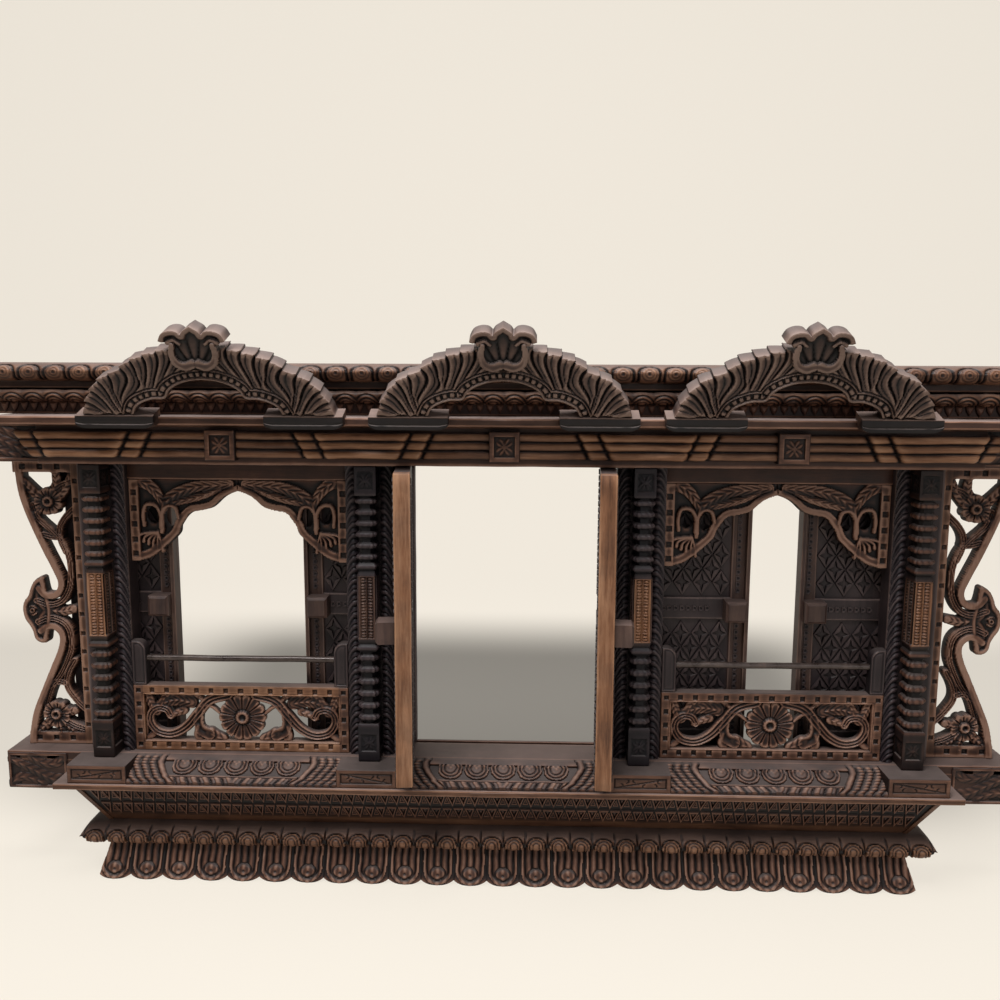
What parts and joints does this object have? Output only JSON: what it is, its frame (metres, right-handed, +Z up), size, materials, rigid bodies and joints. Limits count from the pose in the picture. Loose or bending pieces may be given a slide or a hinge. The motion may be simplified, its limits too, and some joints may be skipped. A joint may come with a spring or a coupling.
{
  "type": "carved wooden window",
  "caption": "Carved wooden bay window with pierced wings, cusped side bays, parapets, guard rods, lotus cornice, leaning crest arches, swinging centre leaves and sliding side leaves.",
  "frame": {"origin": "centre of the sill beam's rear face, which lies on the wall plane", "axes": "+Z up, +X to the viewer's right along the window, +Y into the wall, away from the viewer"},
  "size_m": [1.3, 0.1821, 0.6983],
  "materials": {
    "carved_wood": "dark stained hardwood, deeply carved, worn to copper brown on the high edges",
    "frame_wood": "dark stained hardwood, planed, with dusty worn edges",
    "leaf_wood": "dark stained hardwood with lattice carving and rubbed orange-brown edges",
    "rod_iron": "dark wrought iron rubbed smooth"
  },
  "bodies": {
    "window_frame": {"apron_lotus": "carved_wood", "apron_panel": "carved_wood", "apron_skirt": "carved_wood", "arch_centre": "carved_wood", "arch_feet": "carved_wood", "arch_finials": "carved_wood", "arch_left": "carved_wood", "arch_right": "carved_wood", "cornice_frieze": "carved_wood", "cornice_lower_lotus": "carved_wood", "cornice_upper_lotus": "carved_wood", "guard_rods": "rod_iron", "head_rails": "frame_wood", "jamb_1": "frame_wood", "jamb_2": "frame_wood", "jamb_3": "frame_wood", "jamb_4": "frame_wood", "lintel_beam": "frame_wood", "lintel_flower_blocks": "carved_wood", "lintel_moulding": "carved_wood", "lintel_shelf": "frame_wood", "parapet_frame_left": "carved_wood", "parapet_frame_right": "carved_wood", "parapet_scroll_left": "carved_wood", "parapet_scroll_right": "carved_wood", "post_1": "carved_wood", "post_2": "carved_wood", "post_3": "carved_wood", "post_4": "carved_wood", "rod_cheeks": "carved_wood", "rope_mouldings": "carved_wood", "sill_beam": "frame_wood", "sill_blocks": "carved_wood", "sill_ledge": "frame_wood", "sill_slopes": "carved_wood", "spandrel_left_bay_left": "carved_wood", "spandrel_left_bay_right": "carved_wood", "spandrel_right_bay_left": "carved_wood", "spandrel_right_bay_right": "carved_wood", "wing_left": "carved_wood", "wing_right": "carved_wood"},
    "left_bay_left_leaf": {"left_bay_left_leaf_frame": "leaf_wood", "left_bay_left_leaf_knob": "leaf_wood", "left_bay_left_leaf_panels": "leaf_wood"},
    "left_bay_right_leaf": {"left_bay_right_leaf_frame": "leaf_wood", "left_bay_right_leaf_knob": "leaf_wood", "left_bay_right_leaf_panels": "leaf_wood"},
    "right_bay_left_leaf": {"right_bay_left_leaf_frame": "leaf_wood", "right_bay_left_leaf_knob": "leaf_wood", "right_bay_left_leaf_panels": "leaf_wood"},
    "right_bay_right_leaf": {"right_bay_right_leaf_frame": "leaf_wood", "right_bay_right_leaf_knob": "leaf_wood", "right_bay_right_leaf_panels": "leaf_wood"},
    "centre_left_leaf": {"centre_left_leaf_frame": "leaf_wood", "centre_left_leaf_knob": "leaf_wood", "centre_left_leaf_panels": "leaf_wood"},
    "centre_right_leaf": {"centre_right_leaf_frame": "leaf_wood", "centre_right_leaf_knob": "leaf_wood", "centre_right_leaf_panels": "leaf_wood"}
  },
  "joints": [
    {"name": "left_bay_left_slide", "type": "slide", "parent": "window_frame", "child": "left_bay_left_leaf", "axis": [-1, 0, 0], "range_m": [-0.0875, 0.0165]},
    {"name": "left_bay_right_slide", "type": "slide", "parent": "window_frame", "child": "left_bay_right_leaf", "axis": [1, 0, 0], "range_m": [-0.0769, 0.0271]},
    {"name": "right_bay_left_slide", "type": "slide", "parent": "window_frame", "child": "right_bay_left_leaf", "axis": [-1, 0, 0], "range_m": [-0.0251, 0.0789]},
    {"name": "right_bay_right_slide", "type": "slide", "parent": "window_frame", "child": "right_bay_right_leaf", "axis": [1, 0, 0], "range_m": [-0.0347, 0.0693]},
    {"name": "centre_left_swing", "type": "hinge", "parent": "window_frame", "child": "centre_left_leaf", "pos_m": [-0.1265, -0.026, 0.211], "axis": [0, 0, -1], "range_deg": [-84, 6]},
    {"name": "centre_right_swing", "type": "hinge", "parent": "window_frame", "child": "centre_right_leaf", "pos_m": [0.1265, -0.026, 0.211], "axis": [0, 0, 1], "range_deg": [-86, 4]}
  ]
}
